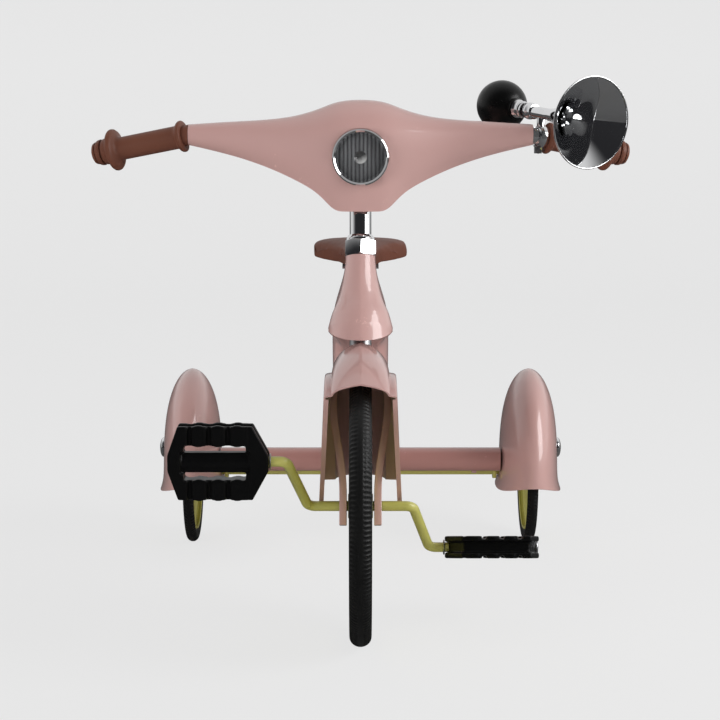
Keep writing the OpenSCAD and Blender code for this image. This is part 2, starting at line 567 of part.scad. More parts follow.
// stations: share of the half length, top, bottom, front and back, about the bar's centre
shell_st = [[0, crest_up, -rim_down, -46, 22], [0.075, crest_up - 0.6, -rim_down, -46, 22],
    [0.155, crest_up - 3.5, 1.5 - rim_down, -45, 21], [0.25, crest_up * 0.73, -rim_down * 0.77, -39, 19],
    [0.39, crest_up * 0.56, -rim_down * 0.57, -28, 18], [0.56, crest_up * 0.45, -rim_down * 0.41, -16, 21],
    [0.76, crest_up * 0.39, -rim_down * 0.27, -5, 25.5],
    [1, bar_d / 2 + 0.5 + shell_t, -bar_d / 2 - 1.9 - shell_t, 16.2 - bar_d / 2 - 1.2 - shell_t,
        16.2 + bar_d / 2 + 1.2 + shell_t]];
function shell_ring(t, w) = let(q = spline(shell_st, abs(t)), e = smooth(clamp01((abs(t) - 0.1) / 0.9)),
    zc = (q[1] + q[2]) / 2, yc = (q[3] + q[4]) / 2, hz = (q[1] - q[2]) / 2 - w, hy = (q[4] - q[3]) / 2 - w,
    ctrl = [for (i = [0 : 10]) let(a = 248 - i * 31.6) lerp(shell_mid[i], [cos(a), sin(a)], e)])
    [for (i = [0 : 20]) let(p = spline(ctrl, i / 20)) [sign(t) * q[0] * shell_x,
        bar_y + yc + hy * p[0], bar_z + zc + hz * p[1] + (i == 0 || i == 20 ? -w * 0.2 : 0)]];
lamp_y = bar_y - 49;                         // front face of the shell's centre
lamp_z = bar_z - lamp_down;
module bar_shell() color(pink) ahead() difference() {
    ts = [for (i = [-14 : 14]) sign(i) * pow(abs(i) / 14, 1.15)];
    sheet_loft([for (t = ts) let(o = shell_ring(t, 0), n = shell_ring(t, shell_t * 1.0))
        concat([for (i = [20 : -1 : 0]) o[i]], n)]);
    translate([0, lamp_y - 20, lamp_z]) rotate([-90, 0, 0]) cylinder(r = lamp_r + 0.3, h = 45);
}
// Headlight: bucket, reflector, bulb, lens and bezel, all round one axis
module lamp() { ahead() translate([0, lamp_y, lamp_z]) rotate([90, 0, 0]) children(); }
module headlight_bezel() color(shine) lamp() rotate_extrude() polygon([[lamp_r - 4, 3], [lamp_r - 3.4, 7],
    [lamp_r - 1.6, 8.6], [lamp_r - 0.2, 7.4], [lamp_r, 4], [lamp_r, -8], [lamp_r - 1.4, -8],
    [lamp_r - 1.6, 3]]);
module headlight_lens() color([0.8, 0.85, 0.88, 0.5]) lamp() rotate_extrude() {
    ro = lamp_r - 1.8;
    polygon(concat([for (i = [0 : 8]) [ro * i / 8 * 0.86, 5.2 * cos(90 * i / 8) + 1.4]],
        [[ro * 0.9, 2.9], [ro, 2.9], [ro, 0.6], [ro * 0.86, 0.6]],
        [for (i = [8 : -1 : 0]) [ro * i / 8 * 0.84, 5.2 * cos(90 * i / 8) - 0.8]]));
}
module headlight_reflector() color(shine) lamp() rotate_extrude() polygon(concat(
    [for (i = [0 : 10]) let(r = lerp(6, lamp_r - 5, i / 10)) [r, -21 + 20.5 * pow(r / (lamp_r - 5), 2)]],
    [[lamp_r - 2, -0.5], [lamp_r - 2, -1.7]],
    [for (i = [10 : -1 : 0]) let(r = lerp(6, lamp_r - 4, i / 10)) [r, -22.4 + 20.5 * pow(r / (lamp_r - 4), 2)]]));
module headlight_bulb() color([0.95, 0.9, 0.8]) lamp() {
    translate([0, 0, -8]) sphere(r = 5);
    translate([0, 0, -24]) cylinder(r = 4, h = 13);
    translate([0, 0, -21.5]) cylinder(r = 5.85, h = 5);
}
module headlight_bucket() color(pink) lamp() rotate_extrude() polygon(concat(
    [for (i = [0 : 8]) let(r = lerp(4.2, lamp_r - 1.8, i / 8)) [r, -27 + 24.6 * pow(i / 8, 2.2)]],
    [[lamp_r - 3.2, -2.2]],
    [for (i = [8 : -1 : 0]) let(r = lerp(4.2, lamp_r - 3.2, i / 8)) [r, -25.6 + 23.2 * pow(i / 8, 2.2)]]));

// Squeeze horn on a clamp at the bar's left end
horn_dir = unit([0.52, -0.849, -0.098]);
clamp_at = bend_at + unit(grip_dir) * (grip_start + clamp_w / 2);
horn_top = clamp_at + [0, 0, bar_d / 2 + 10.5 + throat_r];
bulb_at = horn_top - horn_dir * 77;
module horn() { ahead() along(bulb_at, bulb_at + horn_dir) children(); }
module horn_clamp() color(shine) ahead() difference() {
    union() {
        along(clamp_at - unit(grip_dir) * clamp_w / 2, clamp_at)
            cylinder(r = bar_d / 2 + 3, h = clamp_w);
        along(clamp_at, clamp_at + [0, 0, 1]) cylinder(r = 4.5, h = bar_d / 2 + 12);
        translate(clamp_at - [7, 4, bar_d / 2 + 9]) cube([8, 8, 10]);
    }
    along(clamp_at - unit(grip_dir) * 20, clamp_at) cylinder(r = bar_d / 2 + seat_gap / 2, h = 40);
    along(bulb_at, bulb_at + horn_dir) cylinder(r = throat_r + seat_gap / 2, h = 120);
    translate(clamp_at - [10, 1, bar_d / 2 + 12]) cube([20, 2, 12]);
}
module horn_screw() color(steel) ahead() translate(clamp_at - [3, 0, bar_d / 2 + 6]) rotate([90, 0, 0]) {
    translate([0, 0, 4.1]) cylinder(r = 3.2, h = 2.4);
    translate([0, 0, -4.9]) cylinder(r = 3, h = 0.8);
    translate([0, 0, -0.9]) cylinder(r = 1.6, h = 1.8);
}
module horn_bell() color(shine) horn() {
    s0 = 58;
    n = 14;
    fl = [for (i = [0 : n]) let(u = i / n) [lerp(84, horn_l - 1.5, u), throat_r + (horn_r - throat_r - 1) * pow(u, 2.1)]];
    rotate_extrude() polygon(concat([[throat_r, s0]], [for (p = fl) [p[1], p[0]]],
        [[horn_r - 0.4, horn_l - 1], [horn_r, horn_l - 0.2], [horn_r - 0.6, horn_l + 0.6], [horn_r - 1.8, horn_l + 0.2]],
        [for (i = [n : -1 : 0]) [fl[i][1] - 1.3, fl[i][0] + 0.3]], [[throat_r - 1.3, s0]]));
}
module horn_ferrule() color(shine) horn() difference() {
    rotate_extrude() polygon([[0, bulb_r - 5], [8, bulb_r - 5], [10.5, bulb_r + 1], [10.5, bulb_r + 4], [8.4, bulb_r + 6],
        [8.4, 52], [9.6, 54], [9.6, 57], [8.4, 59], [8.4, 64], [0, 64]]);
    translate([0, 0, 57.9]) cylinder(r = throat_r + seat_gap / 2, h = 20);
    translate([0, 0, 10]) cylinder(r = 4, h = 60);
}
module horn_bulb() color(black) horn() difference() {
    rotate_extrude() polygon(concat([for (i = [0 : 18]) let(a = -90 + i * 9)
        [bulb_r * cos(a) + (i == 0 ? 0 : 0), bulb_r * 1.02 * sin(a)]], [[7, bulb_r + 3], [0, bulb_r + 3]]));
    rotate_extrude() polygon([[0, bulb_r - 5.2], [8.15, bulb_r - 5.2], [10.9, bulb_r + 1.2], [10.9, bulb_r + 9], [0, bulb_r + 9]]);
}

// Front fender: arched crown with shoulders, and skirts that reach down to the axle's height.
// Each ring lies in a plane through the wheel's axis, from the rear edge over to the lip.
lip_at = [148 / 176 * crown_r * cos(lip_angle), 148 / 176 * crown_r * sin(lip_angle)];
skirt_foot = 14;                             // skirts' lower front corner, behind the axle
edge_n = [lip_at[1], skirt_foot - lip_at[0]];
function skirt_in(th) = edge_n[0] * skirt_foot / (edge_n[0] * cos(th) + edge_n[1] * sin(th));
function skirt_x(rho, th) = lerp(skirt_low_w, skirt_top_w, clamp01(rho * sin(th) / 125));
function fender_ring(th) = let(e = smooth(clamp01((th - 78) / (lip_angle - 78))),
    top = crown_r - 9 * e, h = lerp(crown_w, 12, e), c = top - h, ri = skirt_in(th), t = sheet,
    x1 = skirt_x(c, th), x2 = skirt_x(ri, th),
    out = concat([for (i = [0 : 6]) let(b = 15 * i) [crown_w * sin(b), c + h * cos(b)]],
        [[crown_w + (x1 - crown_w) * 0.35, c - 0.3], [x1 - 1.6, c - 0.9], [x1 - 0.3, c - 2.2], [x1, c - 4.6],
        [x2, ri], [x2 - rolled_edge, ri]]),
    inn = concat([for (i = [0 : 5]) let(b = 15 * i) [(crown_w - t) * sin(b), c + (h - t) * cos(b)]],
        [[crown_w - t * 0.9, c - t * 0.5], [crown_w + (x1 - crown_w) * 0.3, c - 0.3 - t], [x1 - 2.2, c - 0.9 - t],
        [x1 - t - 0.1, c - 3.4], [x1 - t, c - 4.8], [x2 - t, ri + 1.6], [x2 - rolled_edge, ri + 1.6]]))
    [for (p = concat([for (i = [12 : -1 : 1]) [-out[i][0], out[i][1]]], out,
        [for (i = [12 : -1 : 0]) inn[i]], [for (i = [1 : 12]) [-inn[i][0], inn[i][1]]]))
        [p[0], p[1] * cos(th), front_r + p[1] * sin(th)]];
module front_fender() color(pink) ahead() difference() {
    sheet_loft([for (i = [0 : 25]) fender_ring(lip_angle * (1 - pow(1 - i / 25, 1.35)))]);
    translate([0, 0, front_r]) rotate([-rake, 0, 0]) translate([0, 0, crown_r - 30])
        cylinder(r = steerer_r + 0.5, h = 60);
}

// Neck fairing: flared front shell of the head with a dipping apron
neck_prof = [[nut_s - 0.6, neck_top_r], [nut_s - neck_l * 0.14, neck_top_r + 0.7],
    [nut_s - neck_l * 0.37, neck_top_r + 3.4], [nut_s - neck_l * 0.6, neck_top_r + 8],
    [nut_s - neck_l * 0.8, lerp(neck_top_r, neck_rim_r, 0.77)], [neck_low, neck_rim_r]];
head_v = 3;                                  // plane where the backbone takes over
module neck_fairing() color(pink) steer() difference() {
    rotate_extrude() {
        p = [for (i = [0 : 15]) spline(neck_prof, i / 15)];
        polygon(concat([for (q = p) [q[1], q[0]]], [[neck_rim_r + 1.2, neck_low - apron - 4]],
            [[neck_rim_r - 0.4, neck_low - apron - 4]], [for (i = [15 : -1 : 0]) [p[i][1] - 1.6, p[i][0]]]));
    }
    translate([-60, head_v - 0.1, 0]) cube([120, 90, 400]);
    translate([0, 0, neck_low]) rotate([atan(apron / neck_rim_r), 0, 0])
        translate([-60, -90, -80]) cube([120, 180, 80]);
}
tube_r = neck_top_r - 1.8;
module head_tube() color(steel) steer() translate([0, 0, neck_low + 4])
    ring(tube_r, tube_r - 1.5, nut_s - 3.4 - neck_low - 4);
// Flanged bushings at both ends of the head tube
module head_bushings() color(black) steer() difference() {
    union() {
        translate([0, 0, neck_low + 1]) cylinder(r = tube_r + 1.5, h = 3);
        translate([0, 0, neck_low + 3]) cylinder(r = tube_r - 1.5 - seat_gap / 2, h = 16);
        translate([0, 0, nut_s - 3.4]) cylinder(r = tube_r, h = 3.1);
        translate([0, 0, nut_s - 18]) cylinder(r = tube_r - 1.5 - seat_gap / 2, h = 16);
    }
    cylinder(r = steerer_r + run_gap, h = 400);
}

// Backbone: from the neck's bottle outline, over the front fender, down to the cross beam
function ax(s, v) = [s * sr + v * cr, front_r + s * cr - v * sr];
function polar(r, a) = [r * cos(a), front_r + r * sin(a)];
beam_f = wheelbase - beam_fwd;
spine_st = [concat(ax(nut_s - 0.8, head_v), ax(max(neck_low - 8, sweep_r + 1), head_v), [neck_rim_r]),
    concat([bar_y + 8, 388], polar(sweep_r + 2, 58), [spine_w - 0.5]),
    concat([166, 350], polar(sweep_r + 2.5, 40), [spine_w]),
    concat([226, 311], polar(sweep_r + 6, 20), [spine_w]),
    concat([292, 268], [wheelbase * 0.505, 166], [spine_w - 1.5]),
    concat([366, 214], [wheelbase * 0.68, 124], [spine_w - 4]),
    concat([wheelbase * 0.885, 160], [wheelbase * 0.86, 104], [spine_w - 7]),
    concat([beam_f, beam_z + beam_r + 5], [beam_f, beam_z - beam_r + 5], [spine_w - 8.5])];
function neck_w(s) = lookup(s, [for (i = [5 : -1 : 0]) neck_prof[i]]);
function spine_ring(t) = let(q = spline(spine_st, t), e = smooth(clamp01(t / 0.2)))
    [for (i = [0 : 27]) let(a = 360 * i / 28, h = -cos(a), sn = sin(a),
        s = lerp(neck_low - 8, nut_s - 0.8, (h + 1) / 2),
        xb = neck_w(s) * sign(sn) * min(1, abs(sn) * 2.6), xe = q[4] * sign(sn) * pow(abs(sn), 0.8),
        k = (h + 1) / 2) [lerp(xb, xe, e), lerp(q[2], q[0], k), lerp(q[3], q[1], k)]];
module backbone() color(pink) ahead() difference() {
    loft([for (i = [0 : 24]) spine_ring(i / 24)]);
    translate([0, 0, front_r]) rotate([-rake, 0, 0]) {
        translate([0, 0, 150]) cylinder(r = tube_r + 1.9, h = neck_low + 4.2 - 150);
        translate([0, 0, 150]) cylinder(r = tube_r + 0.1, h = 200);
    }
    translate([-100, beam_f, beam_z]) rotate([0, 90, 0]) cylinder(r = beam_r + 0.05, h = 200);
    translate([0, post_y, post_low - 8]) cylinder(r = post_d / 2 + 2.6, h = 200);
}

// Seat tube in the backbone, its clamp, the sliding post and the saddle
post_low = 214;                              // lowest point of the post's bore
tube_top = 284;
module seat_tube() color(pink) ahead() translate([0, post_y, post_low - 7.9])
    difference() {
        cylinder(r = post_d / 2 + 2.5, h = tube_top - post_low + 7.9);
        translate([0, 0, 4]) cylinder(r = post_d / 2 + run_gap, h = 200);
        translate([-1, 0, tube_top - post_low - 20]) cube([2, 40, 60]);
    }
module seat_clamp() color(shine) ahead() translate([0, post_y, tube_top - 14]) difference() {
    union() {
        cylinder(r = post_d / 2 + 5.5, h = 12);
        translate([-8, post_d / 2, 0]) cube([16, 15, 12]);
        translate([-12, post_d / 2 + 10, 6]) rotate([0, 90, 0]) cylinder(r = 4, h = 24);
    }
    translate([0, 0, -1]) cylinder(r = post_d / 2 + 2.6, h = 20);
    translate([-1.5, 0, -1]) cube([3, 40, 20]);
}
module seat_post() color(shine) ahead() translate([0, post_y, post_low]) difference() {
    cylinder(r = post_d / 2, h = saddle_z - 33 - post_low);
    translate([0, 0, -1]) cylinder(r = post_d / 2 - 2, h = saddle_z - 45 - post_low);
}
// Bracket that joins the post to the saddle's pan
module saddle_bracket() color(steel) ahead() translate([0, post_y, 0]) difference() {
    union() {
        translate([0, 0, saddle_z - 53]) cylinder(r = post_d / 2 + 4, h = 21);
        translate([-22, -34, saddle_z - 32.9]) cube([44, 76, 4]);
        for (k = [-1, 1]) translate([k * 16 - 4, -34, saddle_z - 29.5]) cube([8, 76, 3]);
    }
    translate([0, 0, saddle_z - 75]) cylinder(r = post_d / 2 + seat_gap / 2, h = 42);
    translate([-1, 0, saddle_z - 65]) cube([2, 60, 32]);
}
saddle_y = post_y - saddle_l * 0.58;
// stations: share of the length, half width share, bottom and top below the saddle's height
saddle_st = [[0, 0.17, -21, -11], [0.05, 0.26, -25, -6], [0.16, 0.32, -26.4, -2.5], [0.34, 0.39, -26.4, -1],
    [0.5, 0.58, -26.4, -0.3], [0.64, 0.84, -26.4, 0], [0.78, 1, -26.4, -0.5], [0.9, 0.97, -26.4, -3.5],
    [0.97, 0.8, -25, -8], [1, 0.6, -21, -12]];
function saddle_at(t) = spline(saddle_st, t);
// Outline of the pan, grown by w
function pan_line(w) = let(p = [for (i = [0 : 20]) saddle_at(0.16 + 0.74 * i / 20)])
    concat([for (q = p) [saddle_w * q[1] - 9 + w, saddle_y + q[0] * saddle_l]],
    [for (i = [20 : -1 : 0]) [9 - w - saddle_w * p[i][1], saddle_y + p[i][0] * saddle_l]]);
module saddle_cover() color(brown) ahead() difference() {
    loft([for (i = [0 : 26]) let(q = saddle_at(i / 26),
        hw = saddle_w * q[1], zc = saddle_z + (q[2] + q[3]) / 2, hz = (q[3] - q[2]) / 2)
        [for (j = [0 : 27]) let(a = -360 * j / 28, c = cos(a), s = sin(a), x = hw * sign(c) * pow(abs(c), 0.42))
            [x, saddle_y + q[0] * saddle_l, zc + (s > 0 ? (hz - 2.5) * pow(s, 0.5) + 2.5 * s
            - 2 * pow(x / hw, 2) * pow(s, 0.5) : -hz * pow(-s, 0.22))]]]);
    translate([0, 0, saddle_z - 33.25]) linear_extrude(10) polygon(pan_line(0.3));
}
module saddle_pan() color(black) ahead() translate([0, 0, saddle_z - 26.4])
    linear_extrude(3.1) polygon(pan_line(0));

backbone();
neck_fairing();
head_tube();
head_bushings();
seat_tube();
seat_clamp();
rear_beam();
axle_brackets();
rear_axle();
axle_collars();
axle_nuts();
rear_fender_l();
rear_fender_r();
fender_stays();
cap_nuts();
seat_post();
saddle_bracket();
saddle_pan();
saddle_cover();
steerer();
fork_crown();
fork_blade_l();
fork_blade_r();
crank_bushings();
front_fender();
lock_nut();
stem();
handlebar();
bar_shell();
grip_right();
grip_left();
headlight_bezel();
headlight_lens();
headlight_reflector();
headlight_bulb();
headlight_bucket();
horn_clamp();
horn_screw();
horn_bell();
horn_ferrule();
horn_bulb();
front_tire();
front_disc();
front_hub();
crank();
pedal_nuts();
pedal_r();
pedal_l_body();
rear_tire_l();
rear_disc_l();
rear_hub_left();
rear_tire_r();
rear_disc_r();
rear_hub_right();
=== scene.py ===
"""A child's streamlined pedal tricycle, dressed piece by piece in the order it is put together."""

import math

import bmesh
import bpy
from mathutils import Matrix, Vector


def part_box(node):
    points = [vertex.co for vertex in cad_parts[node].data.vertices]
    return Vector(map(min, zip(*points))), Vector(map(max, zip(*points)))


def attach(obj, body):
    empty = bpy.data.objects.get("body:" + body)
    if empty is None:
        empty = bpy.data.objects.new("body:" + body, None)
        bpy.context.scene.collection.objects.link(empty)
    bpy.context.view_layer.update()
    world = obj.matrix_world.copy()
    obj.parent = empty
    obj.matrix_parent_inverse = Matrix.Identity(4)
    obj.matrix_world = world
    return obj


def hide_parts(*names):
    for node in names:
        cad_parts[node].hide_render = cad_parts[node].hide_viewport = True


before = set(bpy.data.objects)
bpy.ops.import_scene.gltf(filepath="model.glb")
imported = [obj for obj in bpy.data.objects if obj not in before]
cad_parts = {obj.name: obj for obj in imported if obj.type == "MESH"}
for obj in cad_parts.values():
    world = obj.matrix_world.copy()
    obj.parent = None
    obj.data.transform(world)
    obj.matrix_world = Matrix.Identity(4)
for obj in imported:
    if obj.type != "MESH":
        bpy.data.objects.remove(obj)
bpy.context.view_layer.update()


# ---- Viewpoint ----
# The photograph is taken from straight ahead with a long lens, a little above the
# handlebar and tipped down about eight degrees.
picture_width = 720
half_a_pixel = 0.5 / picture_width
lens = bpy.data.cameras.new("viewpoint")
lens.sensor_width, lens.lens = 36.0, 99.17
lens.shift_x = -half_a_pixel
lens.clip_start, lens.clip_end = 0.05, 60.0
viewpoint = bpy.data.objects.new("viewpoint", lens)
viewpoint.location = (0.0, -2.3462, 0.6149)
viewpoint.rotation_euler = (math.radians(81.872), 0.0, 0.0)
bpy.context.scene.collection.objects.link(viewpoint)
bpy.context.scene.camera = viewpoint
bpy.context.scene.view_settings.view_transform = "Standard"


# ---- Studio ----
# A pale sweep of paper runs under the tricycle and up behind it. Three soft boxes light
# it: a key at the right, a far fill at the left and a faint one overhead. Only the key
# shows in the enamel and the chrome.
class Wire:
    """One shader output. Python arithmetic on it adds the Math nodes."""

    def __init__(self, finish, socket):
        self.finish, self.socket = finish, socket

    def _math(self, operation, a, b):
        return self.finish.add("ShaderNodeMath", {"operation": operation}, a, b)

    def __add__(self, other):
        return self._math("ADD", self, other)

    def __sub__(self, other):
        return self._math("SUBTRACT", self, other)

    def __rsub__(self, other):
        return self._math("SUBTRACT", other, self)

    def __mul__(self, other):
        return self._math("MULTIPLY", self, other)

    def __gt__(self, other):
        return self._math("GREATER_THAN", self, other)

    def __pow__(self, other):
        return self._math("POWER", self, other)

    __radd__, __rmul__ = __add__, __mul__


class Finish:
    """A node material for one finish of the tricycle, or the nodes of a world."""

    def __init__(self, name, shader="ShaderNodeBsdfPrincipled", world=None):
        self.paint = world or bpy.data.materials.new(name)
        self.paint.use_nodes = True
        self.nodes, self.links = self.paint.node_tree.nodes, self.paint.node_tree.links
        self.nodes.clear()
        self.shade = self.nodes.new(shader)
        self.end = self.nodes.new("ShaderNodeOutputWorld" if world else "ShaderNodeOutputMaterial")
        self.links.new(self.shade.outputs[0], self.end.inputs[0])

    def feed(self, socket, value):
        """Links a wire to a socket, or sets the socket to a plain value."""
        if isinstance(value, Wire):
            self.links.new(value.socket, socket)
        elif hasattr(value, "__len__") and len(value) == 3 and socket.type == "RGBA":
            socket.default_value = (*value, 1.0)
        else:
            socket.default_value = value

    def add(self, kind, settings=None, *values, out=0, **named):
        """Adds a node, feeds its inputs by place or by name, and gives the wire of one output."""
        node = self.nodes.new(kind)
        for key, value in (settings or {}).items():
            if key == "stops":
                while len(node.color_ramp.elements) < len(value):
                    node.color_ramp.elements.new(0.5)
                for stop, (at, shade) in zip(node.color_ramp.elements, value):
                    stop.position, stop.color = at, (*shade, 1.0)
            else:
                setattr(node, key, value)
        for socket, value in zip(node.inputs, values):
            self.feed(socket, value)
        for key, value in named.items():
            self.feed(node.inputs[key.replace("_", " ")], value)
        return Wire(self, node.outputs[out])

    def mix(self, share, a, b):
        """Blends colour a into colour b as share goes from 0 to 1."""
        node = self.nodes.new("ShaderNodeMix")
        node.data_type = "RGBA"
        for index, value in ((0, share), (6, a), (7, b)):
            self.feed(node.inputs[index], value)
        return Wire(self, node.outputs[2])

    def axis(self, index):
        """One object coordinate in metres: 0 is x, 1 is y, 2 is z."""
        spot = self.add("ShaderNodeTexCoord", out="Object")
        return self.add("ShaderNodeSeparateXYZ", None, spot, out=index)

    def cloud(self, scale, detail=3.0, rough=0.5, stretch=(1, 1, 1)):
        """Noise on object coordinates."""
        spot = self.add("ShaderNodeTexCoord", out="Object")
        spot = self.add("ShaderNodeMapping", None, spot, Scale=stretch)
        return self.add("ShaderNodeTexNoise", None, Vector=spot, Scale=scale, Detail=detail, Roughness=rough)

    def relief(self, height, depth, strength):
        """A bump: depth in metres at height 1."""
        return self.add("ShaderNodeBump", None, Strength=strength, Distance=depth, Height=height)

    def set(self, **sockets):
        """Feeds the shader's own sockets; an underscore stands for a space."""
        for key, value in sockets.items():
            self.feed(self.shade.inputs[key.replace("_", " ")], value)
        return self


def tint(r, g, b):
    """A colour as it looks on screen, 0 to 255, as Blender's linear values."""
    return tuple((c / 255 / 12.92) if c < 10.3 else ((c / 255 + 0.055) / 1.055) ** 2.4 for c in (r, g, b))


def made(name, shape, sharp=38):
    """Turns a finished bmesh into an object, smooth but for edges sharper than sharp degrees."""
    for face in shape.faces:
        face.smooth = True
    for edge in shape.edges:
        if len(edge.link_faces) == 2 and edge.calc_face_angle(0.0) > math.radians(sharp):
            edge.smooth = False
    mesh = bpy.data.meshes.new(name)
    shape.to_mesh(mesh)
    shape.free()
    piece = bpy.data.objects.new(name, mesh)
    bpy.context.scene.collection.objects.link(piece)
    return piece


def only(kind, geometry):
    """The verts, edges or faces among what a bmesh operator gives back."""
    return [part for part in geometry if isinstance(part, kind)]


paper_half, paper_front, bend_start, bend_radius, paper_rise = 7.0, -4.0, 3.2, 2.2, 4.0
sweep = bmesh.new()
edge_line = [sweep.verts.new((x, paper_front, 0.0)) for x in (-paper_half, paper_half)]
step = bmesh.ops.extrude_edge_only(sweep, edges=[sweep.edges.new(edge_line)])["geom"]
bmesh.ops.translate(sweep, verts=only(bmesh.types.BMVert, step), vec=(0, bend_start - paper_front, 0))
bend = bmesh.ops.spin(sweep, geom=only(bmesh.types.BMVert, step) + only(bmesh.types.BMEdge, step),
                      cent=(0, bend_start, bend_radius), axis=(1, 0, 0), angle=math.radians(90),
                      steps=24)["geom_last"]
rise = bmesh.ops.extrude_edge_only(sweep, edges=only(bmesh.types.BMEdge, bend))["geom"]
bmesh.ops.translate(sweep, verts=only(bmesh.types.BMVert, rise), vec=(0, 0, paper_rise))
bmesh.ops.recalc_face_normals(sweep, faces=sweep.faces)
paper_sweep = made("paper_sweep", sweep)

paper = Finish("pale_paper", "ShaderNodeMixShader")
camera, mirror_ray, through = (paper.add("ShaderNodeLightPath", out=kind + " Ray")
                               for kind in ("Is Camera", "Is Glossy", "Is Transmission"))
up = paper.axis(2)
level = paper.add("ShaderNodeValToRGB", {"stops": [(0.0, tint(237, 237, 237)), (0.3, tint(238, 238, 238)),
                                                   (1.0, tint(227, 227, 227))]}, up * 0.45)
matt = paper.add("ShaderNodeBsdfDiffuse", None, Color=tint(233, 233, 233))
low_part = paper.add("ShaderNodeMapRange", {"interpolation_type": "SMOOTHSTEP"}, up, 1.5, 0.15, 0.0, 1.0)
level = paper.mix(mirror_ray * low_part, level, (0.03, 0.03, 0.03))
glow = paper.add("ShaderNodeEmission", None, Color=level, Strength=1.0)
glow_share = (camera + mirror_ray + through) * 0.86
for socket, value in zip(paper.shade.inputs, (glow_share, matt, glow)):
    paper.feed(socket, value)
paper_sweep.data.materials.append(paper.paint)

room = bpy.data.worlds.new("studio_room")
bpy.context.scene.world = room
air = Finish("studio_air", "ShaderNodeBackground", world=room)
camera, mirror_ray, through = (air.add("ShaderNodeLightPath", out=kind + " Ray")
                               for kind in ("Is Camera", "Is Glossy", "Is Transmission"))
heading = air.add("ShaderNodeTexCoord", out="Generated")
backward = air.add("ShaderNodeSeparateXYZ", None, heading, out=1)
upward = air.add("ShaderNodeSeparateXYZ", None, heading, out=2)
behind = air.add("ShaderNodeMapRange", {"interpolation_type": "SMOOTHSTEP"}, backward, -0.55, 0.25, 0.0, 1.0)
mirrored = air.mix(behind, (0.022, 0.022, 0.024), tint(221, 221, 221))
overhead = air.add("ShaderNodeMapRange", None, upward, 0.1, 0.8, 0.0, 1.0)
soft = air.mix(overhead, (0.95, 0.95, 0.96), (0.13, 0.13, 0.135))
air.set(Color=air.mix(camera + through, air.mix(mirror_ray, soft, mirrored), tint(229, 229, 229)))

lit_spot = Vector((0.0, 0.0, 0.3))
for name, spot, size, watts in (("key_box", (2.0, -0.75, 1.2), (1.35, 1.5), 33.0),
                                ("fill_box", (-3.9, -3.6, 0.7), (2.2, 2.2), 104.0),
                                ("top_box", (0.2, 0.9, 2.4), (2.0, 1.0), 3.0)):
    box_light = bpy.data.lights.new(name, "AREA")
    box_light.shape, box_light.size, box_light.size_y, box_light.energy = "RECTANGLE", *size, watts
    holder = bpy.data.objects.new(name, box_light)
    holder.location = spot
    holder.rotation_euler = (lit_spot - Vector(spot)).to_track_quat("-Z", "Y").to_euler()
    holder.visible_glossy = name == "key_box"
    bpy.context.scene.collection.objects.link(holder)


# ---- Frame: backbone, neck and head ----
# The backbone and the bottle-shaped neck are pressed from thin steel, welded, ground and
# sprayed in pink enamel under a hard clear coat.
def enamel(name, colour, shade, peel=0.00012, coat=0.9):
    """Sprayed enamel: slight drift of colour, orange peel, and a few fine rubbed specks."""
    paint = Finish(name)
    rub = (paint.cloud(38.0, 5.0, 0.65) > 0.66) * (paint.cloud(420.0, 2.0) > 0.56)
    sprayed = paint.mix(paint.cloud(5.0, 4.0), colour, shade)
    pale = tuple(min(1.0, c * 1.25 + 0.03) for c in colour)
    return paint.set(Base_Color=paint.mix(rub * 0.55, sprayed, pale),
                     Roughness=paint.cloud(60.0, 3.0) * 0.14 + 0.28 + rub * 0.25,
                     Coat_Weight=coat, Coat_Roughness=0.03,
                     Normal=paint.relief(paint.cloud(110.0, 2.0), peel, 0.5))


pink = enamel("pink_enamel", tint(204, 164, 158), tint(197, 155, 149))


def node_shape(node):
    """A bmesh of a CAD node's own surface, its doubled corners joined."""
    shape = bmesh.new()
    shape.from_mesh(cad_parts[node].data)
    bmesh.ops.remove_doubles(shape, verts=shape.verts, dist=2e-5)
    return shape


def sheet_copy(node, name, crease=48.0):
    """A pressed sheet: the CAD node's own shape, its facets joined into four-sided ones and smoothed."""
    shape = node_shape(node)
    bmesh.ops.join_triangles(shape, faces=shape.faces, angle_face_threshold=math.radians(40),
                             angle_shape_threshold=math.radians(60))
    fold = shape.edges.layers.float.get("crease_edge") or shape.edges.layers.float.new("crease_edge")
    for edge in shape.edges:
        if edge.calc_face_angle(0.0) > math.radians(crease):
            edge[fold] = 1.0
    piece = made(name, shape, crease)
    finer = piece.modifiers.new("finer", "SUBSURF")
    finer.levels = finer.render_levels = 2
    return piece


def eased_copy(node, name, width=0.0006, segments=2):
    """A machined or moulded part: the CAD node's own shape with its sharp edges eased."""
    shape = node_shape(node)
    bmesh.ops.dissolve_limit(shape, angle_limit=math.radians(0.6), verts=shape.verts, edges=shape.edges)
    piece = made(name, shape, 180)
    ease = piece.modifiers.new("eased", "BEVEL")
    ease.width, ease.segments = width, segments
    ease.limit_method, ease.angle_limit = "ANGLE", math.radians(32)
    ease.harden_normals = True
    return piece


def fit(piece, finish, body, slot, *nodes):
    """Paints a new piece, hangs it on its body and lets it stand for its CAD nodes."""
    piece.data.materials.append(finish.paint)
    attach(piece, body)
    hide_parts(*nodes)
    return piece


def dress(finish, *nodes):
    """Gives CAD nodes that stay as they are their finish."""
    for node in nodes:
        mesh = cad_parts[node].data
        mesh.materials.clear()
        mesh.materials.append(finish.paint)


fit(sheet_copy("backbone", "backbone_pressing"), pink, "frame", "paint_pink", "backbone")
rake = math.radians(15)
low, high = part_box("front_tire")
wheel_centre = (low + high) / 2
uphill = Vector((0.0, math.sin(rake), math.cos(rake)))
forward = Vector((0.0, -uphill.z, uphill.y))

